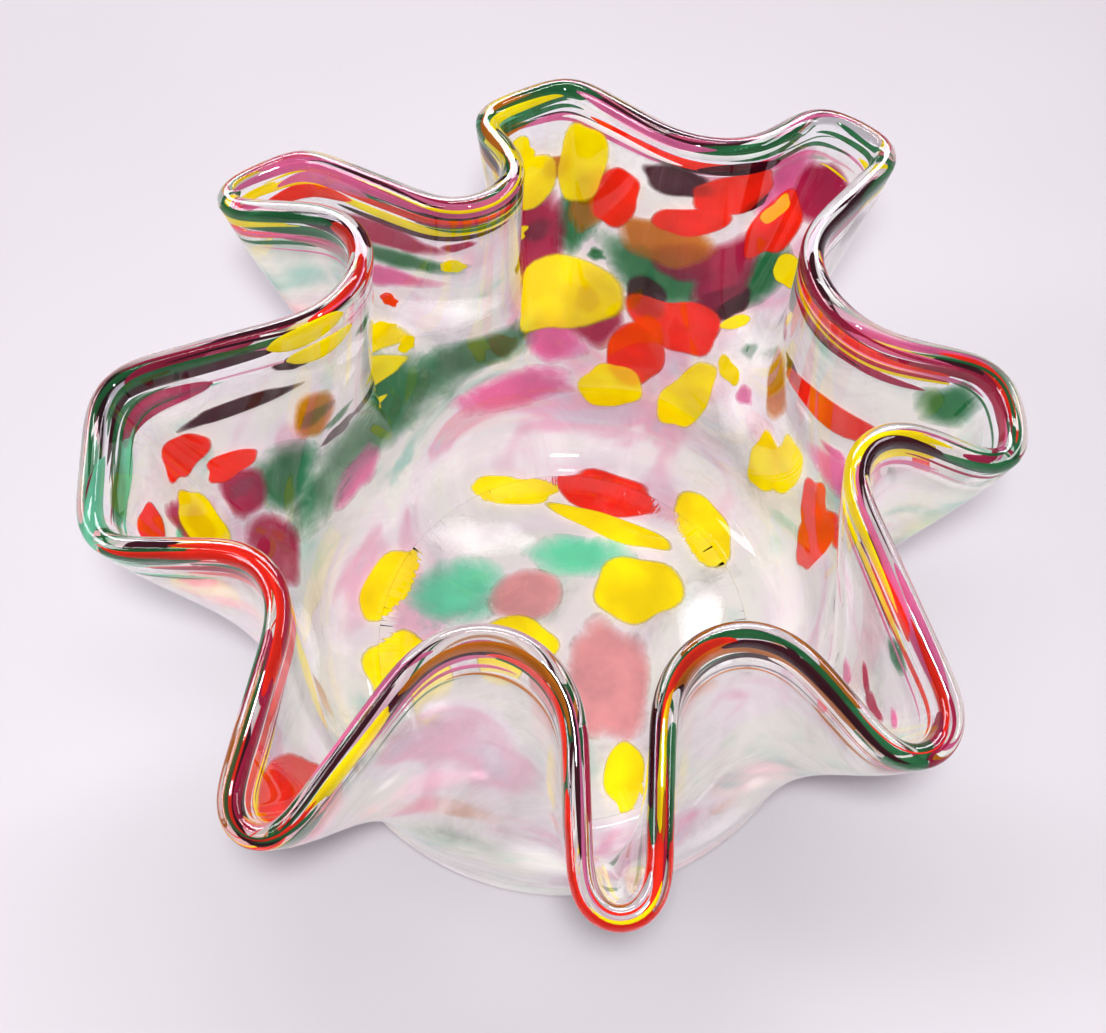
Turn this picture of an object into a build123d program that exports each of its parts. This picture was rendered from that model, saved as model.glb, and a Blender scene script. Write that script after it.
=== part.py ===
from build123d import *

import os
from math import asin, atan2, ceil, cos, degrees, hypot, pi, radians, sin

os.makedirs("parts", exist_ok=True)

# A blown glass bowl with a round body and a rim worked into eight outward lobes and
# eight inward folds. Millimetres; +Z up; the origin is the centre of the resting face.

# Body
FOOT_RADIUS = 56.0       # flat resting face
BODY_RADIUS = 61.0       # middle of the wall where it leaves the floor
BELLY = 3.5              # how much wider the body gets on the way up
FLOOR_HEIGHT = 16.0      # thick glass under the floor
FLOOR_ROUND = 13.0       # inside corner between floor and wall
FLOOR_RADIUS = 46.0      # flat part of the floor
FOOT_EDGE = ((2.9, 1.2), (4.3, 4.0), (6.3, 14.0))   # rounded foot: (outwards, up)

# Wall
WALL = 5.0               # whole wall, inside face to outside face
RIM_HEIGHT = 126.0       # middle of the rim where it stands 50 mm from the axis
RIM_DROP = 0.32          # the rim sinks this much for each mm that it leans out
RUFFLE_START = 0.08      # fraction of the wall's height that stays round
STATIONS = 144           # points round the rim in each section of the wall
EVENING = 6              # softens the joints between the rim's arcs

# Depths of the layers, measured from the inside face
LINING = 1.2
COLOUR = (1.6, 2.1)
VEIL = (2.6, 2.85)
CASING = 3.0
LAYER_TOP = 0.945        # the layers stop here, under the casing's rim
LEDGE = 0.955            # and the casing closes over them here
CHIP_GAP = 0.8           # clear glass left between neighbouring chips
CHIP_SHRINK = 0.92       # a chip that would touch another is made smaller in steps
LEAST_CHIP = 3.0         # and one that would get thinner than this is left out

# The rim in plan: each lobe turns round one or two circles, each fold round one,
# as (x, y, radius), counter-clockwise from the front lobe.
LOBES = (
    ((9.5, -84.5, 7.2),),
    ((64.5, -53.0, 8.5),),
    ((84.5, 6.0, 6.5), (82.5, 14.5, 8.0)),
    ((66.5, 78.5, 4.8), (57.5, 83.0, 5.8)),
    ((0.5, 89.5, 4.8), (-14.0, 82.5, 4.0)),
    ((-57.5, 69.5, 5.5), (-70.0, 65.5, 3.8)),
    ((-86.5, 13.0, 9.0), (-86.0, -9.5, 9.0)),
    ((-56.0, -69.5, 7.0),),
)
FOLDS = (
    (34.0, -57.0, 16.5),
    (67.5, -8.5, 12.0),
    (70.0, 43.0, 19.5),
    (32.5, 94.0, 19.5),
    (-22.0, 65.5, 11.5),
    (-57.5, 42.0, 16.0),
    (-67.5, -35.0, 13.5),
    (-16.5, -60.0, 18.0),
)

# Chips of coloured glass. On the wall: (percent of the way round the rim, percent of
# the wall's height, length along the rim, height, tilt in degrees).
# On the floor: (x, y, length, width, tilt in degrees).
WALL_CHIPS = {
    "yellow": (
        (49.0, 77, 15, 13, 0), (47.8, 42, 26, 18, -10), (45.0, 10, 13, 15, 15),
        (41.0, 15, 9, 22, 15), (46.6, 81, 11, 17, 25), (61.3, 46, 16, 9, 0),
        (31.3, 22, 8, 20, 0), (79.3, 80, 12, 13, 0), (32.5, 13, 9, 18, 0),
    ),
    "red": (
        (44.0, 25, 13, 18, 15), (42.5, 40, 19, 15, 20), (45.4, 75, 9, 16, 30),
        (43.0, 76, 13, 7, -20), (42.0, 86, 15, 10, 0), (40.0, 72, 13, 15, 0),
        (60.5, 62, 14, 8, 25), (28.0, 15, 9, 22, 0), (26.3, 38, 9, 19, 5),
        (86.5, 70, 15, 32, 0), (30.5, 62, 24, 8, -15), (76.0, 78, 10, 7, 0),
        (73.0, 72, 12, 8, 0),
    ),
    "green": (
        (53.0, 30, 30, 15, 0), (62.3, 25, 14, 22, 0), (43.7, 55, 26, 14, 15),
        (39.6, 58, 11, 16, 0), (46.8, 66, 9, 26, 15), (70.5, 42, 16, 22, 0),
        (75.5, 91, 16, 5, 0), (3.0, 84, 10, 5, 0), (56.0, 76, 30, 6, 0),
        (93.5, 22, 26, 10, 0), (27.5, 86, 12, 14, 0),
    ),
    "cranberry": (
        (49.0, 58, 17, 25, 0), (41.3, 59, 12, 18, 8), (38.7, 82, 13, 14, 0),
        (56.5, 84, 30, 7, 0), (73.6, 30, 12, 20, 0), (46.0, 38, 14, 20, 0),
        (75.0, 62, 9, 16, 0),
    ),
    "pink": (
        (51.0, 9, 26, 12, 0), (48.2, 27, 13, 13, 0), (40.2, 84, 16, 16, 0),
        (57.0, 68, 26, 6, 0), (29.0, 42, 18, 10, -15), (10.0, 40, 18, 12, 0),
        (92.0, 52, 20, 8, 0), (67.0, 12, 16, 14, 0),
    ),
    "opal_white": (
        (55.0, 52, 24, 14, 0), (36.0, 30, 20, 30, 0), (44.5, 88, 22, 10, 0),
        (78.0, 12, 20, 18, 0), (72.0, 88, 16, 10, 0), (14.5, 60, 14, 20, 0),
        (7.5, 18, 18, 18, 0), (97.0, 26, 16, 18, 0),
    ),
    "amber": (
        (43.6, 67, 18, 12, 0), (80.5, 18, 10, 28, 0), (33.0, 46, 8, 22, 0),
        (46.2, 72, 8, 20, 25), (68.5, 60, 8, 20, 0), (91.0, 40, 24, 7, 0),
    ),
    "aubergine": (
        (43.6, 88, 14, 7, 0), (43.9, 47, 9, 11, 0), (40.8, 50, 11, 8, 0),
        (70.5, 78, 22, 4, 0), (36.0, 70, 9, 30, 0),
    ),
}
FLOOR_CHIPS = {
    "yellow": (
        (-12.5, 42.0, 22, 7, -3), (12.5, 31.5, 28, 6, -22), (18.5, 14.5, 20, 17, 0),
        (35.5, 30.5, 11, 19, 20), (-43.5, 16.0, 10, 20, -30), (-40.0, -7.0, 16, 19, 0),
        (-11.5, 0.0, 20, 12, 0), (14.5, -34.0, 9, 16, 0),
    ),
    "red": ((11.0, 41.0, 24, 11, -15),),
    "teal": ((-27.0, 14.0, 21, 15, 20), (4.0, 24.0, 20, 9, 0)),
    "pink": ((-9.5, 13.0, 16, 12, 10), (12.0, -9.5, 18, 30, 5)),
    "opal_white": ((-21.0, 29.0, 26, 11, 0), (34.0, 5.0, 12, 24, 0), (-14.0, -24.0, 26, 16, 0)),
}
# Colour drawn out along the rim: (percent round, percent up, length, height).
STREAK_PIECE = 16.0      # a longer streak lies as pieces of about this length
RIM_STREAKS = {
    "yellow": ((54.8, 91, 40, 4.5), (67.0, 91, 19, 5), (20.5, 91, 30, 5), (5.3, 90, 24, 4), (30.3, 90, 26, 4)),
    "red": ((44.6, 91, 30, 4), (84.0, 91, 34, 4), (17.3, 91, 20, 5), (31.5, 82, 30, 4), (59.0, 91, 18, 4)),
    "green": ((48.6, 91, 16, 5), (88.2, 91, 16, 4), (41.6, 91, 26, 3.5), (63.5, 91, 20, 4)),
    "cranberry": ((71.0, 91, 32, 4), (91.8, 91, 30, 4), (34.0, 91, 34, 4), (97.0, 91, 24, 4)),
    "amber": ((9.0, 91, 34, 4), (94.8, 84, 34, 3)),
}


def rim_circles():
    """The rim's circles in order; side is 1 round a lobe and -1 round a fold."""
    for lobe, fold in zip(LOBES, FOLDS):
        for circle in lobe:
            yield (*circle, 1)
        yield (*fold, -1)


def heading(first, second):
    """Direction of the straight run that leaves one circle and meets the next."""
    (x0, y0, r0, side0), (x1, y1, r1, side1) = first, second
    gap = hypot(x1 - x0, y1 - y0)
    return atan2(y1 - y0, x1 - x0) - asin((side1 * r1 - side0 * r0) / gap)


def on_circle(circle, direction):
    x, y, radius, side = circle
    return x + side * radius * sin(direction), y - side * radius * cos(direction)


circles = list(rim_circles())
leaving = [heading(a, b) for a, b in zip(circles, circles[1:] + circles[:1])]
arriving = leaving[-1:] + leaving[:-1]
with BuildLine() as rim_plan:
    for circle, start, end in zip(circles, arriving, leaving):
        x, y, radius, side = circle
        turn = (end - start + pi) % (2 * pi) - pi
        CenterArc((x, y), radius, degrees(start) - 90 * side, degrees(turn))
    for circle, following, way in zip(circles, circles[1:] + circles[:1], leaving):
        Line(on_circle(circle, way), on_circle(following, way))
rim_wire = rim_plan.wires()[0]


def evened(points, reach):
    """Each point moved to the weighted middle of its neighbours on a closed curve."""
    weights = [cos(pi * k / (2 * reach + 2)) ** 2 for k in range(-reach, reach + 1)]
    total = sum(weights)
    count = len(points)
    result = []
    for i in range(count):
        spot = Vector()
        for k, weight in enumerate(weights):
            spot += points[(i + k - reach) % count] * (weight / total)
        result.append(spot)
    return result


FINE = 4 * STATIONS
plan = [rim_wire @ (i / FINE) for i in range(FINE)]
if sum(a.X * b.Y - b.X * a.Y for a, b in zip(plan, plan[1:] + plan[:1])) < 0:
    plan.reverse()
rim = evened(plan, EVENING)[::4]
# The body's round section is shared out by the rim evened over half a lobe each way.
bearings = [atan2(p.Y, p.X) for p in evened(plan, FINE // 16)[::4]]
BASE = FLOOR_HEIGHT + FLOOR_ROUND


def station(values, way):
    """Value at a fraction of the way round, between the stations either side."""
    place = way % 1.0 * STATIONS
    i = int(place)
    return values[i % STATIONS], values[(i + 1) % STATIONS], place - i


def middle(way, up):
    """Middle of the wall at a fraction of the way round and of the wall's height."""
    a, b, t = station(rim, way)
    lip = a * (1 - t) + b * t
    a, b, t = station(bearings, way)
    bearing = a + ((b - a + pi) % (2 * pi) - pi) * t
    share = max(0.0, (up - RUFFLE_START) / (1 - RUFFLE_START))
    ruffle = 0.5 * share**1.6 + 0.5 * sin(pi / 2 * min(share, 1.0)) ** 2
    body = BODY_RADIUS + BELLY * sin(pi / 2 * min(1.0, up / 0.4))
    top = RIM_HEIGHT - RIM_DROP * (hypot(lip.X, lip.Y) - 50)
    return Vector(
        body * cos(bearing) * (1 - ruffle) + lip.X * ruffle,
        body * sin(bearing) * (1 - ruffle) + lip.Y * ruffle,
        BASE + (top - BASE) * up,
    )


def upwards(way, up):
    return (middle(way, up + 0.01) - middle(way, up - 0.01)).normalized()


def in_wall(way, up, depth):
    """Point in the wall, at a depth below its inside face."""
    along = middle(way + 1 / STATIONS, up) - middle(way - 1 / STATIONS, up)
    outwards = along.cross(upwards(way, up)).normalized()
    return middle(way, up) + outwards * (depth - WALL / 2)


def in_floor(x, y, depth):
    """Point in the floor or its rounded corner; x and y are measured along the glass."""
    reach = hypot(x, y)
    corner = min(max(0.0, (reach - FLOOR_RADIUS) / FLOOR_ROUND), pi / 2)
    radius = min(reach, FLOOR_RADIUS) + (FLOOR_ROUND + depth) * sin(corner)
    height = BASE - (FLOOR_ROUND + depth) * cos(corner)
    return Vector(x * radius / reach, y * radius / reach, height)


def closed(points):
    """Closed smooth curve whose points are evenly spaced in its own parameter."""
    count = len(points)
    steps = [k / count for k in range(count + 1)]
    return Wire([Edge.make_spline(points, periodic=True, parameters=steps)])


def wall_section(up, depth):
    return closed([in_wall(i / STATIONS, up, depth) for i in range(STATIONS)])


def round_section(radius, height):
    return closed([Vector(radius * cos(a), radius * sin(a), height) for a in bearings])


def floor_sections(depth):
    """The floor's edge and its rounded corner, up to just short of the wall."""
    centre = BODY_RADIUS - WALL / 2 - FLOOR_ROUND
    reach = FLOOR_ROUND + depth
    turns = [radians(a) for a in (90, 72, 48, 24)]
    return [round_section(centre + reach * cos(t), BASE - reach * sin(t)) for t in turns]


def rising(depth, top, levels=10):
    return [wall_section(top * k / levels, depth) for k in range(levels + 1)]


def skin(*strips):
    """Solid closed by lofted strips, each a list of sections; the ends are flat faces."""
    faces = []
    for strip in strips:
        faces += Shell.make_loft(strip, ruled=len(strip) == 2).faces()
    faces += [Face(strips[0][0]), Face(strips[-1][-1])]
    return Solid(Shell(faces))


def layer(near, far, top):
    """Lining or veil: one thickness of glass over the floor and up the wall."""
    outside = floor_sections(far) + rising(far, top)
    inside = (floor_sections(near) + rising(near, top))[::-1]
    return skin(outside, [outside[-1], inside[0]], inside)


def rim_bead():
    """The fire-polished edge: half a round from the outside face to the inside face."""
    sections = []
    for turn in (radians(30 * k) for k in range(7)):
        spots = []
        for i in range(STATIONS):
            spot = in_wall(i / STATIONS, 1.0, WALL / 2 * (1 + cos(turn)))
            spots.append(spot + upwards(i / STATIONS, 1.0) * (WALL / 2 * sin(turn)))
        sections.append(closed(spots))
    return sections


def chip(place, length, height, tilt):
    """A lens of glass, flattened into the colour layer; place maps mm to the layer."""
    near, far = COLOUR
    half = (far - near) / 2

    def outline(share, depth):
        spots = []
        for k in range(10):
            turn = 2 * pi * k / 10
            a, b = share * length / 2 * cos(turn), share * height / 2 * sin(turn)
            c, s = cos(radians(tilt)), sin(radians(tilt))
            spots.append(place(a * c - b * s, a * s + b * c, depth))
        return closed(spots)

    rings = [(share, near + half * share**2) for share in (0.28, 0.55, 0.8, 1.0)]
    rings += [(share, near + far - depth) for share, depth in rings[2::-1]]
    sections = [outline(share, depth) for share, depth in rings]
    return Solid.make_loft(
        [Vertex(place(0, 0, near)), *sections, Vertex(place(0, 0, far))], ruled=True
    )


def scales(way, up):
    """Millimetres along the wall for one whole way round, and for its whole height."""
    step = 1 / STATIONS
    along = (middle(way + step, up) - middle(way - step, up)).length / (2 * step)
    rise = (middle(way, up + 0.01) - middle(way, up - 0.01)).length / 0.02
    return along, rise


def wall_place(way, up):
    """Maps mm along the rim and up the wall to a point in the wall."""
    along, rise = scales(way, up)
    return lambda a, b, depth: in_wall(way + a / along, up + b / rise, depth)


def edge_places(chip_size):
    """Places just outside a wall chip's outline, as fractions round and up the wall."""
    way, up, along, rise, length, height, tilt = chip_size
    c, s = cos(radians(tilt)), sin(radians(tilt))
    for turn in (2 * pi * k / 24 for k in range(24)):
        a = (length / 2 + CHIP_GAP) * cos(turn)
        b = (height / 2 + CHIP_GAP) * sin(turn)
        yield way + (a * c - b * s) / along, up + (a * s + b * c) / rise


def covers(chip_size, place):
    way, up, along, rise, length, height, tilt = chip_size
    a, b = ((place[0] - way + 0.5) % 1 - 0.5) * along, (place[1] - up) * rise
    c, s = cos(radians(tilt)), sin(radians(tilt))
    return ((a * c + b * s) / length) ** 2 + ((b * c - a * s) / height) ** 2 < 0.25


def touch(one, other):
    return any(covers(one, place) for place in edge_places(other)) or any(
        covers(other, place) for place in edge_places(one)
    )


laid = []


def lay(way, up, length, height, tilt):
    """The wall chip at the size that clears the ones before it, if there is room."""
    along, rise = scales(way, up)
    chip_size = (way, up, along, rise, length, height, tilt)
    while any(touch(chip_size, other) for other in laid):
        length, height = length * CHIP_SHRINK, height * CHIP_SHRINK
        chip_size = (way, up, along, rise, length, height, tilt)
        if min(length, height) < LEAST_CHIP:
            return []
    laid.append(chip_size)
    return [chip(wall_place(way, up), length, height, tilt)]


# Clear casing: outside of the bowl, thick base and rim
with BuildPart() as clear_casing:
    foot = [round_section(FOOT_RADIUS, 0)]
    foot += [round_section(FOOT_RADIUS + out, up) for out, up in FOOT_EDGE]
    bead = rim_bead()
    lip = wall_section(LEDGE, 0)
    pocket = (floor_sections(CASING) + rising(CASING, LEDGE))[::-1]
    outer = foot + rising(WALL, 1.0)
    add(skin(outer, bead, [bead[-1], lip], [lip, pocket[0]], pocket))
clear_casing.part.label = "clear_casing"
export_step(clear_casing.part, "parts/clear_casing.step")

# Clear lining: the gather that the bowl was blown from, on the inside
with BuildPart() as clear_lining:
    add(layer(0, LINING, LAYER_TOP))
clear_lining.part.label = "clear_lining"
export_step(clear_lining.part, "parts/clear_lining.step")

# Thin white veil between the chips and the casing
with BuildPart() as opal_veil:
    add(layer(*VEIL, LAYER_TOP))
opal_veil.part.label = "opal_veil"
export_step(opal_veil.part, "parts/opal_veil.step")


def export_group(name, solids):
    """Writes separate solids of one colour and one zone as one named part."""
    with BuildPart() as group:
        add(solids)
    group.part.label = name
    export_step(group.part, f"parts/{name}.step")


for colour, streaks in RIM_STREAKS.items():
    lenses = []
    for way, up, length, height in streaks:
        pieces = ceil(length / STREAK_PIECE)
        pitch = length / pieces
        along = scales(way / 100, up / 100)[0]
        for k in range(pieces):
            start = (k + 0.5 - pieces / 2) * pitch / along
            lenses += lay(way / 100 + start, up / 100, pitch - CHIP_GAP, height, 0)
    export_group(f"{colour}_rim_streaks", lenses)

for colour, chips in WALL_CHIPS.items():
    lenses = []
    for way, up, *size in chips:
        lenses += lay(way / 100, up / 100, *size)
    export_group(f"{colour}_wall_chips", lenses)

for colour, chips in FLOOR_CHIPS.items():
    lenses = []
    for x, y, *size in chips:
        lenses.append(chip(lambda a, b, depth: in_floor(x + a, y + b, depth), *size))
    export_group(f"{colour}_floor_chips", lenses)
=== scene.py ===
import math

import bpy
import numpy as np
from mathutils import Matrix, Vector


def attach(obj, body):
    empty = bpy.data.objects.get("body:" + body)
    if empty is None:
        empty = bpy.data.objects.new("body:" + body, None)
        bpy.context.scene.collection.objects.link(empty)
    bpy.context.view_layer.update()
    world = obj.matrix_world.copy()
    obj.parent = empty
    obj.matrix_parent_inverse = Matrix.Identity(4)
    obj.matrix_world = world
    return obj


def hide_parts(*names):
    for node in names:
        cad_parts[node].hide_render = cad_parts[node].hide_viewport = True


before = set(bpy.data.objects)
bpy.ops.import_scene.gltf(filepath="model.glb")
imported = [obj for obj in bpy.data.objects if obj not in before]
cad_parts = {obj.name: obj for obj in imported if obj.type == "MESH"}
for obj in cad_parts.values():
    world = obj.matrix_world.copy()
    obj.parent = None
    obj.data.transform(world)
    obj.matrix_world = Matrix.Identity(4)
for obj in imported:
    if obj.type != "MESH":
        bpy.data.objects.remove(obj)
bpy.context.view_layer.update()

rng = np.random.default_rng(11)
MM = 0.001

# The bowl's driving dimensions, in millimetres, the same as the frame's.
FOOT_RADIUS = 56.0
BODY_RADIUS = 61.0
BELLY = 3.5
FLOOR_HEIGHT = 16.0
FLOOR_ROUND = 13.0
FLOOR_RADIUS = 46.0
FOOT_EDGE = (           # rounded foot: (outwards, up)
    (0.9, 0.15), (2.0, 0.6), (2.9, 1.2), (3.8, 2.5),
    (4.3, 4.0), (5.4, 9.0), (6.3, 14.0), (6.6, 20.0),
)
WALL = 5.0
RIM_HEIGHT = 126.0
RIM_DROP = 0.32
RUFFLE_START = 0.08
BASE = FLOOR_HEIGHT + FLOOR_ROUND
LOBES = (
    ((9.5, -84.5, 7.2),),
    ((64.5, -53.0, 8.5),),
    ((84.5, 6.0, 6.5), (82.5, 14.5, 8.0)),
    ((66.5, 78.5, 4.8), (57.5, 83.0, 5.8)),
    ((0.5, 89.5, 4.8), (-14.0, 82.5, 4.0)),
    ((-57.5, 69.5, 5.5), (-70.0, 65.5, 3.8)),
    ((-86.5, 13.0, 9.0), (-86.0, -9.5, 9.0)),
    ((-56.0, -69.5, 7.0),),
)
FOLDS = (
    (34.0, -57.0, 16.5),
    (67.5, -8.5, 12.0),
    (70.0, 43.0, 19.5),
    (32.5, 94.0, 19.5),
    (-22.0, 65.5, 11.5),
    (-57.5, 42.0, 16.0),
    (-67.5, -35.0, 13.5),
    (-16.5, -60.0, 18.0),
)
AROUND = 960            # columns of the glass mesh
LEVELS = 120            # rows up each face of the wall
STEP = 1 / 144          # how far apart the wall is sampled for its slope
SHARES = 576            # the frame shares its rim out by this many places


# ---------------------------------------------------------------- the rim in plan
def rim_plan(count):
    """Evenly spaced points on the belt that runs round the lobes and the folds."""
    circles = []
    for lobe, fold in zip(LOBES, FOLDS):
        circles += [(*c, 1) for c in lobe] + [(*fold, -1)]
    n = len(circles)
    ways = []
    for i in range(n):
        x0, y0, r0, s0 = circles[i]
        x1, y1, r1, s1 = circles[(i + 1) % n]
        gap = math.hypot(x1 - x0, y1 - y0)
        ways.append(math.atan2(y1 - y0, x1 - x0) - math.asin((s1 * r1 - s0 * r0) / gap))
    spots = []
    for i in range(n):
        x, y, r, s = circles[i]
        start, end = ways[i - 1], ways[i]
        turn = (end - start + math.pi) % (2 * math.pi) - math.pi
        steps = max(4, int(abs(turn) * r / 0.15))
        for k in range(steps + 1):
            d = start + turn * k / steps
            spots.append((x + s * r * math.sin(d), y - s * r * math.cos(d)))
    spots = np.array(spots)
    loop = np.vstack([spots, spots[:1]])
    run = np.concatenate([[0], np.cumsum(np.hypot(*np.diff(loop, axis=0).T))])
    at = np.arange(count) / count * run[-1]
    plan = np.stack([np.interp(at, run, loop[:, 0]), np.interp(at, run, loop[:, 1])], 1)
    return plan


def evened(points, reach):
    """Each point moved to the weighted middle of its neighbours on a closed curve."""
    k = np.arange(-reach, reach + 1)
    w = np.cos(np.pi * k / (2 * reach + 2)) ** 2
    w /= w.sum()
    out = np.zeros_like(points)
    for shift, weight in zip(k, w):
        out += weight * np.roll(points, -shift, axis=0)
    return out


FINE = 2304
plan = rim_plan(FINE)
rim = evened(plan, 6 * FINE // SHARES)
body_way = evened(plan, 36 * FINE // SHARES)
bearing = np.unwrap(np.arctan2(body_way[:, 1], body_way[:, 0]))
turns = np.concatenate([bearing, [bearing[0] + 2 * np.pi]])
rim_loop = np.vstack([rim, rim[:1]])
fine_at = np.arange(FINE + 1) / FINE


def middle(way, up):
    """Middle of the wall; way and up are arrays of the same shape."""
    w = way % 1.0
    lip_x = np.interp(w, fine_at, rim_loop[:, 0])
    lip_y = np.interp(w, fine_at, rim_loop[:, 1])
    b = np.interp(w, fine_at, turns)
    share = np.clip((up - RUFFLE_START) / (1 - RUFFLE_START), 0, None)
    ruffle = 0.5 * share**1.6 + 0.5 * np.sin(np.pi / 2 * np.minimum(share, 1)) ** 2
    body = BODY_RADIUS + BELLY * np.sin(np.pi / 2 * np.minimum(1, up / 0.4))
    top = RIM_HEIGHT - RIM_DROP * (np.hypot(lip_x, lip_y) - 50)
    return np.stack([
        body * np.cos(b) * (1 - ruffle) + lip_x * ruffle,
        body * np.sin(b) * (1 - ruffle) + lip_y * ruffle,
        BASE + (top - BASE) * up,
    ], -1)


def unit(v):
    return v / np.linalg.norm(v, axis=-1, keepdims=True)


def upwards(way, up):
    return unit(middle(way, up + 0.01) - middle(way, up - 0.01))


def in_wall(way, up, depth):
    """Points in the wall, at a depth in mm below its inside face."""
    way, up, depth = np.broadcast_arrays(*(np.asarray(v, float) for v in (way, up, depth)))
    along = middle(way + STEP, up) - middle(way - STEP, up)
    out = unit(np.cross(along, upwards(way, up)))
    return middle(way, up) + out * (depth - WALL / 2)[..., None]


def in_floor(x, y, depth):
    """Points in the floor or its rounded corner, below the inside face."""
    reach = np.maximum(np.hypot(x, y), 1e-6)
    corner = np.clip((reach - FLOOR_RADIUS) / FLOOR_ROUND, 0, np.pi / 2)
    radius = np.minimum(reach, FLOOR_RADIUS) + (FLOOR_ROUND + depth) * np.sin(corner)
    height = BASE - (FLOOR_ROUND + depth) * np.cos(corner)
    return np.stack([x * radius / reach, y * radius / reach, height + 0 * x], -1)


def ring(radius, height, way):
    b = np.interp(way % 1.0, fine_at, turns)
    return np.stack([radius * np.cos(b), radius * np.sin(b), np.full_like(b, height)], -1)


# ---------------------------------------------------------------- meshes
def mesh_object(name, verts, faces, material):
    me = bpy.data.meshes.new(name)
    me.from_pydata([tuple(v) for v in np.asarray(verts) * MM], [], faces)
    me.validate()
    me.polygons.foreach_set("use_smooth", [True] * len(me.polygons))
    ob = bpy.data.objects.new(name, me)
    bpy.context.scene.collection.objects.link(ob)
    me.materials.append(material)
    return ob


def rows_to_mesh(rows):
    """Closed rows of points joined by quads, with a fan over each end."""
    n = rows[0].shape[0]
    verts = np.vstack(rows)
    faces = []
    for r in range(len(rows) - 1):
        a, b = r * n, (r + 1) * n
        for i in range(n):
            j = (i + 1) % n
            faces.append((a + i, a + j, b + j, b + i))
    first, last = len(verts), (len(rows) - 1) * n
    faces += [(first, (i + 1) % n, i) for i in range(n)]
    faces += [(first + 1, last + i, last + (i + 1) % n) for i in range(n)]
    return np.vstack([verts, rows[0].mean(0), rows[-1].mean(0)]), faces


columns = np.arange(AROUND) / AROUND


def up_rows(depth, top, count):
    return [in_wall(columns, np.full(AROUND, u), depth) for u in np.linspace(0, top, count + 1)]


def corner_rows(depth, count=10):
    centre = BODY_RADIUS - WALL / 2 - FLOOR_ROUND
    reach = FLOOR_ROUND + depth
    rows = []
    for t in np.radians(np.linspace(90, 90 / count, count)):
        rows.append(ring(centre + reach * math.cos(t), BASE - reach * math.sin(t), columns))
    return rows


def bead_rows(count=14):
    rows = []
    one = np.ones(AROUND)
    rise = upwards(columns, one)
    for t in np.radians(np.linspace(0, 180, count + 1))[1:-1]:
        spot = in_wall(columns, one, WALL / 2 * (1 + math.cos(t)))
        rows.append(spot + rise * (WALL / 2 * math.sin(t)))
    return rows


def flat_rows(radius, height, shares):
    return [ring(radius * s, height, columns) for s in shares]


# ---------------------------------------------------------------- looks
def new_material(name):
    m = bpy.data.materials.new(name)
    m.use_nodes = True
    nt = m.node_tree
    nt.nodes.clear()
    return m, nt, nt.nodes.new("ShaderNodeOutputMaterial")


def noise(nt, scale, detail, rough=0.55, warp=0.0):
    coord = nt.nodes.new("ShaderNodeTexCoord")
    tex = nt.nodes.new("ShaderNodeTexNoise")
    tex.inputs["Scale"].default_value = scale
    tex.inputs["Detail"].default_value = detail
    tex.inputs["Roughness"].default_value = rough
    tex.inputs["Distortion"].default_value = warp
    nt.links.new(coord.outputs["Object"], tex.inputs["Vector"])
    return tex.outputs["Fac"]


def grey(value):
    return (value, value, value)


def ramp(nt, value, stops):
    r = nt.nodes.new("ShaderNodeValToRGB")
    r.color_ramp.interpolation = "EASE"
    els = r.color_ramp.elements
    while len(els) < len(stops):
        els.new(0.5)
    for el, (at, c) in zip(els, stops):
        el.position = at
        el.color = (*c, 1.0)
    nt.links.new(value, r.inputs["Fac"])
    return r.outputs["Color"]


def math_node(nt, op, a, b, clamp=False):
    n = nt.nodes.new("ShaderNodeMath")
    n.operation = op
    n.use_clamp = clamp
    for k, v in enumerate((a, b)):
        if isinstance(v, (int, float)):
            n.inputs[k].default_value = v
        else:
            nt.links.new(v, n.inputs[k])
    return n.outputs[0]


def mix_shader(nt, fac, a, b):
    n = nt.nodes.new("ShaderNodeMixShader")
    if isinstance(fac, (int, float)):
        n.inputs[0].default_value = fac
    else:
        nt.links.new(fac, n.inputs[0])
    nt.links.new(a, n.inputs[1])
    nt.links.new(b, n.inputs[2])
    return n.outputs[0]


def add_shader(nt, a, b):
    n = nt.nodes.new("ShaderNodeAddShader")
    nt.links.new(a, n.inputs[0])
    nt.links.new(b, n.inputs[1])
    return n.outputs[0]


def painted_inner_glow(nt, colour, strength):
    """Painted glow: an emission of the glass's own colour, standing in for light scattered
    about inside the glass.
    """
    n = nt.nodes.new("ShaderNodeEmission")
    n.inputs["Strength"].default_value = strength
    nt.links.new(colour, n.inputs["Color"])
    return n.outputs[0]


def soft_share(nt):
    """1 in the middle of a shape and 0 at its edge."""
    n = nt.nodes.new("ShaderNodeAttribute")
    n.attribute_name = "soft"
    return n.outputs["Fac"]


def lin(*rgb):
    """Linear colour of an 8-bit sRGB one."""
    return tuple(
        ((c / 255 + 0.055) / 1.055) ** 2.4 if c > 10 else c / 255 / 12.92 for c in rgb
    )


PAINTED_GLOW = 0.39             # strength of the painted glow that stands in for light scattered inside the coloured and the milky glass
SHADOW_TINT = (0.76, 0.71, 0.73, 1.0)   # light left after each face of clear glass


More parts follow.
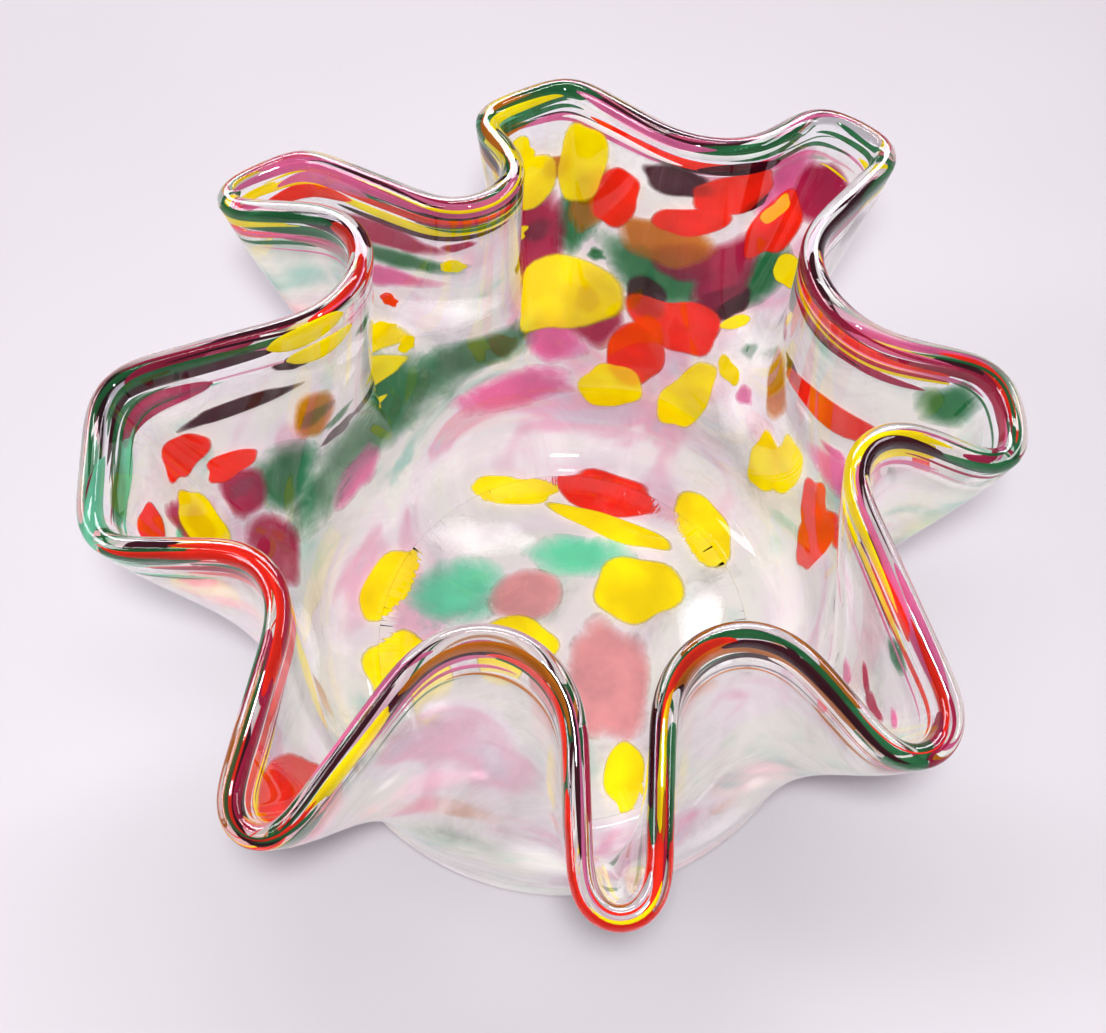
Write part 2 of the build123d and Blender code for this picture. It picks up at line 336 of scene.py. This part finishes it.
def clear_glass(name, tint, shade):
    """Clear glass that lets light straight through to what lies behind it."""
    m, nt, out = new_material(name)
    bsdf = nt.nodes.new("ShaderNodeBsdfPrincipled")
    bsdf.inputs["Transmission Weight"].default_value = 1.0
    bsdf.inputs["IOR"].default_value = 1.5
    bsdf.inputs["Roughness"].default_value = 0.0
    colour = ramp(nt, noise(nt, 28.0, 2.0), [(0.3, tint), (0.7, shade)])
    nt.links.new(colour, bsdf.inputs["Base Color"])
    bump = nt.nodes.new("ShaderNodeBump")
    bump.inputs["Strength"].default_value = 0.06
    bump.inputs["Distance"].default_value = 0.002
    nt.links.new(noise(nt, 34.0, 2.0, 0.4), bump.inputs["Height"])
    nt.links.new(bump.outputs["Normal"], bsdf.inputs["Normal"])
    through = nt.nodes.new("ShaderNodeBsdfTransparent")
    through.inputs["Color"].default_value = SHADOW_TINT
    path = nt.nodes.new("ShaderNodeLightPath")
    both = mix_shader(nt, path.outputs["Is Shadow Ray"], bsdf.outputs[0], through.outputs[0])
    nt.links.new(both, out.inputs["Surface"])
    return m


GRAIN = 60.0            # scale of the unevenness of the coloured glass


def colour_glass(name, body, filter_colour, solid, edge, ragged):
    """Coloured glass: part tints the light behind it, part shows its own body with a painted
    glow added.
    """
    m, nt, out = new_material(name)
    uneven = noise(nt, GRAIN, 5.0, 0.6)
    deep = tuple(c * 0.86 for c in body)
    bright = tuple(min(1.0, c * 1.15) for c in body)
    tone = ramp(nt, uneven, [(0.3, deep), (0.7, bright)])
    darker = nt.nodes.new("ShaderNodeMix")
    darker.data_type = "RGBA"
    darker.blend_type = "MULTIPLY"
    darker.inputs[0].default_value = 1.0
    nt.links.new(tone, darker.inputs[6])
    outline = ramp(nt, soft_share(nt), [(0.0, (0.66, 0.64, 0.5)), (0.09, grey(1.0))])
    nt.links.new(outline, darker.inputs[7])
    tone = darker.outputs[2]
    diffuse = nt.nodes.new("ShaderNodeBsdfDiffuse")
    glow = nt.nodes.new("ShaderNodeBsdfTranslucent")
    nt.links.new(tone, diffuse.inputs["Color"])
    nt.links.new(tone, glow.inputs["Color"])
    body_shader = mix_shader(nt, 0.4, diffuse.outputs[0], glow.outputs[0])
    # painted glow: the body also gives off light of its own colour, standing in for light
    # scattered inside the glass
    body_shader = add_shader(nt, body_shader, painted_inner_glow(nt, tone, PAINTED_GLOW))
    tinted = nt.nodes.new("ShaderNodeBsdfTransparent")
    tinted.inputs["Color"].default_value = (*filter_colour, 1.0)
    thick = mix_shader(nt, solid, tinted.outputs[0], body_shader)
    clouds = math_node(nt, "SUBTRACT", noise(nt, GRAIN * 1.6, 5.0, 0.65, 0.6), 0.5)
    cover = math_node(nt, "ADD", soft_share(nt), math_node(nt, "MULTIPLY", clouds, ragged))
    cover = math_node(nt, "DIVIDE", cover, edge, clamp=True)
    clear = nt.nodes.new("ShaderNodeBsdfTransparent")
    nt.links.new(mix_shader(nt, cover, clear.outputs[0], thick), out.inputs["Surface"])
    return m


# sRGB body colour, light that comes through, share of body, softness and raggedness
# of the edge
COLOURS = {
    "yellow": ((248, 226, 0), (1.0, 0.9, 0.1), 0.88, 0.10, 0.12),
    "red": ((236, 48, 26), (0.95, 0.2, 0.08), 0.85, 0.10, 0.14),
    "green": ((38, 112, 66), (0.35, 0.74, 0.52), 0.62, 0.5, 0.8),
    "teal": ((120, 206, 172), (0.55, 0.92, 0.8), 0.65, 0.6, 0.9),
    "cranberry": ((172, 34, 78), (0.82, 0.26, 0.44), 0.58, 0.3, 0.5),
    "pink": ((222, 120, 168), (0.95, 0.56, 0.76), 0.66, 0.5, 0.8),
    "opal_white": ((248, 242, 244), (0.97, 0.95, 0.97), 0.8, 0.6, 0.9),
    "amber": ((196, 122, 20), (0.9, 0.58, 0.2), 0.6, 0.3, 0.4),
    "aubergine": ((64, 14, 30), (0.42, 0.14, 0.24), 0.75, 0.2, 0.3),
}
looks = {
    name: colour_glass(name + "_glass_look", lin(*body), light, solid, edge, ragged)
    for name, (body, light, solid, edge, ragged) in COLOURS.items()
}

dusty_pink_look = colour_glass(
    "dusty_pink_glass_look", lin(219, 162, 162), (0.93, 0.74, 0.74), 0.78, 0.3, 0.5
)

glass_look = clear_glass("clear_glass_look", (0.985, 0.985, 0.99), (0.965, 0.97, 0.98))

# ---------------------------------------------------------------- clear glass body
outer = flat_rows(FOOT_RADIUS, 0.0, (0.05, 0.4, 0.7, 0.9, 1.0))
outer += [ring(FOOT_RADIUS + o, h, columns) for o, h in FOOT_EDGE]
outer += up_rows(WALL, 1.0, LEVELS)
inner = up_rows(0.0, 1.0, LEVELS)[::-1]
inner += corner_rows(0.0)[::-1]
inner += [
    ring(FLOOR_RADIUS * s, FLOOR_HEIGHT, columns) for s in (0.99, 0.85, 0.6, 0.3, 0.05)
]
verts, faces = rows_to_mesh(outer + bead_rows() + inner)
body = mesh_object("glass_body", verts, faces, glass_look)
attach(body, "root")
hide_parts("clear_casing", "clear_lining")

# ---------------------------------------------------------------- milky veil
veil_look, nt, out = new_material("veil_glass_look")
white = nt.nodes.new("ShaderNodeBsdfTranslucent")
face = nt.nodes.new("ShaderNodeBsdfDiffuse")
tone = ramp(nt, noise(nt, 22.0, 3.0, 0.5, 1.2), [
    (0.30, lin(196, 226, 216)), (0.42, lin(250, 246, 240)), (0.55, lin(250, 240, 244)),
    (0.64, lin(244, 200, 218)), (0.72, lin(232, 214, 228)),
])
nt.links.new(tone, white.inputs["Color"])
nt.links.new(tone, face.inputs["Color"])
milk = mix_shader(nt, 0.4, face.outputs[0], white.outputs[0])
# painted glow: the veil gives off light of its own tone, standing in for light scattered inside
# the glass
milk = add_shader(nt, milk, painted_inner_glow(nt, tone, PAINTED_GLOW))
gap = nt.nodes.new("ShaderNodeBsdfTransparent")
thin = ramp(nt, noise(nt, 30.0, 6.0, 0.6, 0.8), [
    (0.3, grey(0.30)), (0.5, grey(0.66)), (0.7, grey(0.88)),
])
cover = math_node(nt, "MULTIPLY", thin, soft_share(nt))
nt.links.new(mix_shader(nt, cover, gap.outputs[0], milk), out.inputs["Surface"])

VEIL_COLUMNS = 480
keep = slice(0, AROUND, AROUND // VEIL_COLUMNS)
VEIL_TOP = 0.945        # fraction of the wall's height where the veil ends
VEIL = (2.6, 2.85)      # depths of its two faces
VEIL_FADE = 8           # rows over which it fades out at the top


def veil_rows(depth):
    rows = [r[keep] for r in flat_rows(FLOOR_RADIUS, FLOOR_HEIGHT - depth, (0.05, 0.5, 0.98))]
    rows += [r[keep] for r in corner_rows(depth)]
    rows += [r[keep] for r in up_rows(depth, VEIL_TOP, 60)]
    return rows


veil_out, veil_in = veil_rows(VEIL[1]), veil_rows(VEIL[0])
rows = veil_out + veil_in[::-1]
verts, faces = rows_to_mesh(rows)
veil = mesh_object("opal_veil_sheet", verts, faces, veil_look)
row_share = [min(1.0, (len(veil_out) - 1 - k) / VEIL_FADE) for k in range(len(veil_out))]
share = np.repeat(np.array(row_share + row_share[::-1]), VEIL_COLUMNS)
share = np.concatenate([share, np.ones(len(verts) - len(share))])
attr = veil.data.attributes.new("soft", "FLOAT", "POINT")
attr.data.foreach_set("value", share.astype(np.float32))
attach(veil, "root")
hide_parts("opal_veil")


# ---------------------------------------------------------------- chips
class Lot:
    """Closed lens shapes of one colour gathered into one mesh."""

    def __init__(self):
        self.verts, self.faces, self.soft = [], [], []
        self.count = 0

    def add(self, verts, faces, soft):
        self.verts.append(verts)
        self.faces += [tuple(i + self.count for i in f) for f in faces]
        self.soft.append(soft)
        self.count += len(verts)

    def build(self, name, look, slot, *nodes):
        ob = mesh_object(name, np.vstack(self.verts), self.faces, look)
        a = ob.data.attributes.new("soft", "FLOAT", "POINT")
        a.data.foreach_set("value", np.concatenate(self.soft).astype(np.float32))
        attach(ob, "root")
        if nodes:
            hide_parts(*nodes)
        return ob


def scales(way, up):
    """Millimetres along the wall for one whole way round, and for its whole height."""
    ways = np.array([way + STEP, way - STEP, way, way])
    ups = np.array([up, up, up + 0.01, up - 0.01])
    p = middle(ways, ups)
    return np.linalg.norm(p[0] - p[1]) / (2 * STEP), np.linalg.norm(p[2] - p[3]) / 0.02


LENS_TURN = 36
LENS_RINGS = 9


def lens(place, length, height, tilt, depth, thick, rough=0.16):
    """A flattened lens with a wandering outline; place maps mm and depth to a point."""
    turn = np.arange(LENS_TURN) / LENS_TURN * 2 * np.pi
    wobble = np.ones(LENS_TURN)
    for k in range(2, 7):
        wobble += rough / k**0.6 * rng.uniform(-1, 1) * np.cos(k * turn + rng.uniform(0, 6.28))
    c, s = math.cos(math.radians(tilt)), math.sin(math.radians(tilt))
    rows = []
    soft = []
    shares = np.linspace(0.02, 1.0, LENS_RINGS)
    for side, order in ((1, shares), (-1, shares[::-1][1:])):
        for r in order:
            grow = r * (1 + (wobble - 1) * r)
            a, b = length / 2 * grow * np.cos(turn), height / 2 * grow * np.sin(turn)
            d = depth - side * thick / 2 * math.sqrt(max(0.0, 1 - r * r))
            rows.append(place(a * c - b * s, a * s + b * c, d))
            soft.append(np.full(LENS_TURN, 1 - r))
    verts, faces = rows_to_mesh(rows)
    soft = np.concatenate(soft + [np.ones(2)])
    return verts, faces, soft


CHIP_REACH = (-0.02, 0.985)   # chips stay between these fractions of the height


def wall_place(way, up):
    """Maps mm along the rim and up the wall, and a depth, to a point in the wall."""
    along, rise = scales(way, up)

    def place(a, b, d):
        u = np.clip(up + b / rise, *CHIP_REACH)
        return in_wall(way + a / along, u, d)

    return place


def floor_place(x, y):
    return lambda a, b, d: in_floor(x + a, y + b, d)


# Chips on the wall: (percent of the way round the rim, percent of the wall's height,
# length along the rim, height, tilt in degrees).
WALL_CHIPS = {
    "yellow": (
        (49.0, 77, 17, 14, 0), (47.8, 42, 28, 20, -10), (45.0, 10, 14, 16, 15),
        (41.0, 15, 10, 24, 15), (46.6, 81, 12, 20, 25), (61.3, 46, 20, 10, 0),
        (31.3, 22, 9, 22, 0), (79.3, 80, 14, 15, 0), (32.5, 13, 10, 20, 0),
        (60.8, 36, 15, 8, 0), (74.8, 60, 10, 18, 10), (25.0, 62, 9, 16, 20),
    ),
    "red": (
        (44.0, 25, 14, 19, 15), (42.5, 40, 20, 16, 20), (45.4, 75, 10, 18, 30),
        (43.0, 76, 15, 8, -20), (42.0, 86, 17, 11, 0), (40.0, 72, 14, 16, 0),
        (60.5, 62, 16, 9, 25), (28.0, 15, 10, 24, 0), (26.3, 38, 10, 24, 5),
        (86.5, 70, 16, 36, 0), (30.5, 62, 26, 9, -15), (76.0, 78, 11, 8, 0),
        (73.0, 72, 13, 9, 0), (72.0, 60, 12, 7, 10), (29.2, 22, 8, 18, -8),
    ),
    "green": (
        (53.0, 30, 32, 17, 0), (62.3, 25, 20, 26, 0), (43.7, 55, 28, 16, 15),
        (39.6, 58, 12, 18, 0), (46.8, 66, 10, 28, 15), (70.5, 42, 18, 24, 0),
        (75.5, 91, 18, 6, 0), (3.0, 84, 11, 6, 0), (56.0, 76, 32, 7, 0),
        (93.5, 22, 28, 12, 0), (27.5, 86, 13, 15, 0),
    ),
    "cranberry": (
        (49.0, 58, 19, 27, 0), (41.3, 59, 15, 22, 8), (38.7, 82, 15, 15, 0),
        (56.5, 84, 32, 8, 0), (73.6, 30, 16, 22, 0), (46.0, 38, 15, 22, 0),
        (75.0, 62, 10, 18, 0), (72.4, 50, 12, 14, 0), (43.0, 62, 12, 12, 0),
    ),
    "pink": (
        (51.0, 9, 28, 14, 0), (48.2, 27, 15, 15, 0), (40.2, 84, 18, 17, 0),
        (57.0, 68, 28, 7, 0), (29.0, 42, 20, 12, -15), (10.0, 40, 20, 14, 0),
        (92.0, 52, 22, 9, 0), (67.0, 12, 18, 16, 0),
    ),
    "opal_white": (
        (55.0, 52, 26, 16, 0), (36.0, 30, 22, 32, 0), (44.5, 88, 24, 11, 0),
        (78.0, 12, 22, 20, 0), (72.0, 88, 18, 11, 0), (14.5, 60, 16, 22, 0),
        (7.5, 18, 20, 20, 0), (97.0, 26, 18, 20, 0),
    ),
    "amber": (
        (43.6, 67, 20, 14, 0), (80.5, 18, 11, 30, 0), (33.0, 46, 9, 24, 0),
        (46.2, 72, 9, 22, 25), (68.5, 60, 9, 22, 0), (91.0, 40, 26, 8, 0),
    ),
    "aubergine": (
        (43.6, 88, 15, 8, 0), (43.9, 47, 10, 12, 0), (40.8, 50, 12, 9, 0),
        (70.5, 78, 24, 5, 0), (36.0, 70, 10, 32, 0),
    ),
}
# Chips on the floor: (x, y, length, width, tilt in degrees)
FLOOR_CHIPS = {
    "yellow": (
        (-12.5, 42.0, 22, 7, -3), (12.5, 31.5, 28, 6, -22), (18.5, 14.5, 20, 17, 0),
        (35.5, 30.5, 11, 19, 20), (-43.5, 16.0, 10, 20, -30), (-40.0, -7.0, 16, 19, 0),
        (-11.5, 0.0, 20, 12, 0), (14.5, -34.0, 9, 16, 0),
    ),
    "red": ((11.0, 41.0, 24, 11, -15),),
    "teal": ((-27.0, 14.0, 26, 18, 20), (4.0, 24.0, 26, 11, 0)),
    "pink": ((-9.5, 13.0, 18, 13, 10), (11.0, -9.5, 20, 31, 5)),
    "opal_white": ((-21.0, 29.0, 26, 11, 0), (34.0, 5.0, 12, 24, 0), (-14.0, -24.0, 26, 16, 0)),
}
# How deep each colour lies below the inside face, so that no two share a face
LAYER_DEPTH = {
    "yellow": 1.5, "red": 1.75, "amber": 1.85, "cranberry": 2.0, "pink": 2.15,
    "green": 2.25, "teal": 2.3, "aubergine": 2.1, "opal_white": 2.4,
}

# Colours that lie in each stretch of the rim, from one percent of the way to another.
ZONES = (
    (-3, 5.5, ("cranberry", "green", "yellow", "pink", "amber", "red")),
    (5.5, 12, ("amber", "green", "opal_white", "aubergine", "pink")),
    (12, 17, ("red", "cranberry", "green", "pink")),
    (17, 24, ("opal_white", "aubergine", "yellow", "pink")),
    (24, 29, ("cranberry", "pink", "red", "green")),
    (29, 36, ("cranberry", "pink", "opal_white", "aubergine")),
    (36, 41, ("green", "yellow", "pink", "aubergine")),
    (41, 47.5, ("pink", "opal_white", "aubergine", "green")),
    (47.5, 50.5, ("green", "amber", "yellow", "green")),
    (50.5, 56.5, ("cranberry", "aubergine", "red", "yellow", "green")),
    (56.5, 62, ("pink", "red", "yellow", "pink")),
    (62, 70, ("green", "aubergine", "pink", "opal_white")),
    (70, 79, ("cranberry", "aubergine", "teal", "green")),
    (79, 86, ("red", "red", "amber", "cranberry")),
    (86, 90, ("amber", "aubergine", "red", "green")),
    (90, 97, ("amber", "green", "opal_white", "aubergine", "pink")),
)

CHIP_THICK = 0.6
WALL_SPREAD = 1.15      # the chips' colour runs a little way into the glass around them
FLOOR_SPREAD = 1.12
SHARDS = 110
RIM_LENGTH = 873.0
WALL_RISE = 95.0        # about the height of the wall, for the width of a thread
BAND_THICK = 0.7

lots = {}
for colour, chips in WALL_CHIPS.items():
    lot = lots.setdefault((colour, "wall"), Lot())
    for way, up, length, height, tilt in chips:
        place = wall_place(way / 100, up / 100)
        size = (length * WALL_SPREAD, height * WALL_SPREAD)
        lot.add(*lens(place, *size, tilt, LAYER_DEPTH[colour], CHIP_THICK))
for colour, chips in FLOOR_CHIPS.items():
    lot = lots.setdefault((colour, "floor"), Lot())
    for x, y, length, height, tilt in chips:
        size = (length * FLOOR_SPREAD, height * FLOOR_SPREAD)
        lot.add(*lens(floor_place(x, y), *size, tilt, LAYER_DEPTH[colour], CHIP_THICK))

# Small shards between the large chips
for k in range(SHARDS):
    start, end, palette = ZONES[rng.integers(len(ZONES))]
    way = rng.uniform(start, end) / 100
    up = rng.uniform(0.25, 0.9)
    colour = palette[rng.integers(len(palette))]
    length, height = rng.uniform(4, 11), rng.uniform(3, 8)
    tilt = rng.uniform(-35, 35)
    depth = LAYER_DEPTH[colour] + rng.uniform(-0.2, 0.2)
    lot = lots.setdefault((colour, "wall"), Lot())
    lot.add(*lens(wall_place(way, up), length, height, tilt, depth, 0.4, 0.25))


def line_in_rim(way, length, rise, depth, width, thick):
    """A drawn-out thread of colour that runs along inside the rim."""
    n = max(8, int(length / 1.2))
    t = np.linspace(0, 1, n)
    w = way + (t - 0.5) * length / RIM_LENGTH
    taper = np.sin(np.pi * np.clip(t, 0.004, 0.996)) ** 0.5
    sway = rise + 0.006 * np.sin(t * rng.uniform(2, 6) + rng.uniform(0, 6))
    rows = []
    for turn in np.linspace(0, 2 * np.pi, 8, endpoint=False):
        u = sway + width / WALL_RISE / 2 * math.cos(turn) * taper
        d = depth + thick / 2 * math.sin(turn) * taper
        rows.append(in_wall(w, u, d))
    rows = np.array(rows).transpose(1, 0, 2)
    verts, faces = rows_to_mesh(list(rows))
    return verts, faces, np.ones(len(verts))


CLEAR_TIPS = ((0.6, 4.2), (12.6, 15.2), (37.4, 40.2), (58.8, 60.6), (74.4, 77.4), (87.4, 89.6))


def in_clear_tip(percent):
    """Whether this place on the rim is one of the lobes' tips of clear glass."""
    return any(a < percent % 100 < b for a, b in CLEAR_TIPS)


for start, end, palette in ZONES:
    span = end - start
    for k in range(int(span * 1.9)):
        colour = palette[rng.integers(len(palette))]
        percent = rng.uniform(start, end)
        length = rng.uniform(18, 60)
        rise = 1.012 - rng.random() ** 1.3 * 0.13
        depth = rng.uniform(0.9, 4.1) if rise < 0.985 else rng.uniform(1.6, 3.4)
        width = rng.uniform(0.5, 2.6)
        thick = rng.uniform(0.25, 0.6)
        if in_clear_tip(percent):
            length, width = length * 0.4, width * 0.4
        lot = lots.setdefault((colour, "rim"), Lot())
        lot.add(*line_in_rim(percent / 100, length, rise, depth, width, thick))

# The bands that stand out: (percent round, length, rise, depth, width, colour)
BANDS = (
    (66.2, 34, 0.995, 2.6, 4.2, "red"), (68.3, 16, 0.985, 0.9, 7.5, "yellow"),
    (68.0, 15, 0.905, 0.9, 7.5, "yellow"), (71.0, 30, 0.995, 2.6, 4.0, "cranberry"),
    (71.0, 34, 0.955, 3.0, 5.0, "aubergine"), (72.5, 30, 0.90, 2.2, 7.0, "cranberry"),
    (76.5, 30, 0.97, 3.4, 2.5, "teal"), (75.0, 24, 0.90, 2.2, 6.0, "teal"),
    (78.5, 22, 0.99, 3.2, 2.5, "green"), (81.8, 42, 0.99, 2.4, 4.4, "red"),
    (82.5, 40, 0.94, 1.8, 5.5, "red"), (82.0, 44, 0.985, 4.0, 2.2, "green"),
    (85.5, 28, 0.95, 2.2, 4.0, "red"), (86.3, 30, 0.90, 2.0, 3.0, "yellow"),
    (86.5, 30, 0.985, 3.0, 3.0, "aubergine"), (88.3, 14, 0.93, 2.0, 6.0, "green"),
    (90.2, 24, 0.98, 2.6, 2.2, "yellow"), (92.5, 42, 0.965, 2.2, 2.6, "aubergine"),
    (94.5, 46, 0.99, 3.0, 2.2, "amber"), (96.5, 40, 0.975, 3.6, 2.6, "red"),
    (97.5, 36, 0.99, 2.4, 2.0, "aubergine"), (98.6, 30, 0.97, 1.6, 2.2, "cranberry"),
    (5.0, 26, 0.985, 2.6, 4.0, "yellow"), (4.6, 24, 0.955, 3.0, 4.5, "green"),
    (6.8, 26, 0.99, 2.4, 3.4, "red"), (9.0, 46, 0.975, 2.6, 2.8, "amber"),
    (10.4, 44, 0.995, 3.2, 2.6, "aubergine"), (11.2, 30, 0.985, 2.0, 2.4, "green"),
    (14.0, 12, 0.97, 2.6, 5.0, "cranberry"), (13.0, 12, 0.965, 2.4, 4.0, "green"),
    (17.4, 18, 0.965, 2.2, 5.5, "red"), (18.8, 16, 0.965, 2.6, 3.4, "aubergine"),
    # the opal white band at 19.6 is a painted highlight: it stands for the broad white glint on
    # the second lobe's right flank
    (19.6, 14, 0.96, 2.2, 4.5, "opal_white"), (21.5, 24, 0.965, 2.2, 5.0, "yellow"),
    (21.3, 30, 0.995, 3.0, 2.4, "aubergine"), (24.6, 34, 0.99, 3.0, 2.6, "green"),
    (26.6, 20, 0.975, 2.6, 4.2, "cranberry"), (27.6, 18, 0.985, 2.6, 3.6, "aubergine"),
    (30.5, 44, 0.955, 2.2, 3.0, "red"), (30.5, 46, 0.925, 2.0, 3.4, "yellow"),
    (30.4, 36, 0.89, 2.0, 3.4, "cranberry"), (33.8, 42, 0.99, 2.6, 3.6, "aubergine"),
    (34.2, 36, 0.955, 2.0, 3.4, "cranberry"), (36.4, 24, 0.975, 2.8, 3.0, "green"),
    (36.8, 22, 0.95, 2.2, 2.4, "yellow"), (41.8, 28, 0.985, 2.6, 3.8, "green"),
    (43.8, 44, 0.955, 2.2, 3.0, "red"), (42.0, 20, 0.94, 1.8, 4.0, "aubergine"),
    (44.2, 46, 0.99, 3.4, 1.6, "aubergine"), (48.4, 34, 0.99, 2.6, 3.8, "green"),
    (49.4, 20, 0.97, 2.6, 4.0, "teal"), (49.8, 26, 0.935, 2.0, 3.6, "amber"),
    (50.2, 24, 0.965, 3.0, 2.0, "aubergine"), (54.5, 48, 0.995, 2.6, 3.0, "pink"),
    (54.6, 46, 0.975, 3.2, 2.2, "aubergine"), (55.0, 46, 0.955, 2.2, 3.0, "red"),
    (55.4, 48, 0.925, 2.0, 3.4, "yellow"), (55.2, 44, 0.895, 2.4, 2.4, "aubergine"),
    (56.4, 38, 0.99, 3.4, 2.4, "pink"), (58.0, 26, 0.965, 2.0, 4.6, "pink"),
    (58.6, 26, 0.93, 1.8, 4.6, "red"), (61.2, 30, 0.97, 2.6, 3.2, "yellow"),
    (62.4, 34, 0.99, 3.0, 2.6, "green"), (63.0, 34, 0.955, 2.2, 3.4, "green"),
    (64.4, 24, 0.98, 2.0, 2.6, "aubergine"), (64.5, 34, 0.92, 2.0, 4.0, "cranberry"),
)
for percent, length, rise, depth, width, colour in BANDS:
    lot = lots.setdefault((colour, "rim"), Lot())
    lot.add(*line_in_rim(percent / 100, length, rise, depth, width, BAND_THICK))

present = set(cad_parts)
ZONE_NODE = {"wall": "wall_chips", "floor": "floor_chips", "rim": "rim_streaks"}
for (colour, zone), lot in lots.items():
    node = f"{colour}_{ZONE_NODE[zone]}"
    nodes = [node] if node in present else []
    look = dusty_pink_look if (colour, zone) == ("pink", "floor") else looks[colour]
    lot.build(f"{colour}_{zone}_colour", look, f"{colour}_glass", *nodes)

# ---------------------------------------------------------------- floor, light, camera
floor_look, nt, out = new_material("table_look")
bsdf = nt.nodes.new("ShaderNodeBsdfPrincipled")
bsdf.inputs["Roughness"].default_value = 0.6
bsdf.inputs["Specular IOR Level"].default_value = 0.1
pale = ramp(nt, noise(nt, 3.0, 3.0), [
    (0.3, lin(232, 225, 230)), (0.7, lin(238, 232, 238)),
])
nt.links.new(pale, bsdf.inputs["Base Color"])
nt.links.new(bsdf.outputs[0], out.inputs["Surface"])
bpy.ops.mesh.primitive_plane_add(size=4.0, location=(0, 0.2, -0.0003))
table = bpy.context.object
table.name = "table"
table.data.materials.append(floor_look)

world = bpy.data.worlds.new("studio")
bpy.context.scene.world = world
world.use_nodes = True
background = world.node_tree.nodes["Background"]
background.inputs["Color"].default_value = (0.93, 0.91, 0.96, 1)
background.inputs["Strength"].default_value = 0.22


def area(name, at, look_at, size_x, size_y, power, colour=(1, 1, 1)):
    """Oblong light at a place, turned towards another."""
    data = bpy.data.lights.new(name, "AREA")
    data.shape = "RECTANGLE"
    data.size, data.size_y = size_x, size_y
    data.energy = power
    data.color = colour
    ob = bpy.data.objects.new(name, data)
    bpy.context.scene.collection.objects.link(ob)
    ob.location = at
    facing = Vector(look_at) - Vector(at)
    ob.rotation_euler = facing.to_track_quat("-Z", "Y").to_euler()
    return ob


area("flash_light", (0.0, -0.19, 0.60), (0, 0, 0.05), 0.05, 0.04, 2.45)
area("ceiling_light", (0.0, 0.55, 0.95), (0, 0, 0.05), 0.8, 0.10, 4.2, (1.0, 0.97, 1.0))
area("left_light", (-0.75, -0.05, 0.75), (0, 0, 0.05), 0.1, 0.6, 1.2, (0.98, 0.97, 1.0))
# Panels seen only as reflections: they draw the long white lines along the rim.
for name, at, wide, tall, power in (
    ("back_panel", (0.0, 1.15, 0.62), 1.7, 0.36, 30.0),
    ("left_panel", (-1.15, 0.15, 0.72), 1.3, 0.30, 14.0),
    ("right_panel", (1.15, 0.25, 0.62), 1.1, 0.22, 8.0),
):
    panel = area(name, at, (0, 0, 0.1), wide, tall, power, (0.96, 0.88, 1.0))
    panel.visible_diffuse = False
    panel.visible_transmission = False

cam_data = bpy.data.cameras.new("camera")
cam_data.lens = 61.84
cam_data.sensor_width = 36.0
cam_data.sensor_fit = "HORIZONTAL"
camera = bpy.data.objects.new("camera", cam_data)
bpy.context.scene.collection.objects.link(camera)
camera.location = (-0.0026, -0.1698, 0.4532)
camera.rotation_euler = (math.radians(25.0), 0, 0)
bpy.context.scene.camera = camera

sc = bpy.context.scene
sc.view_settings.view_transform = "Standard"
sc.cycles.max_bounces = 14
sc.cycles.transmission_bounces = 12
sc.cycles.transparent_max_bounces = 24
sc.cycles.diffuse_bounces = 2
sc.cycles.glossy_bounces = 4
sc.cycles.caustics_reflective = False
sc.cycles.caustics_refractive = False
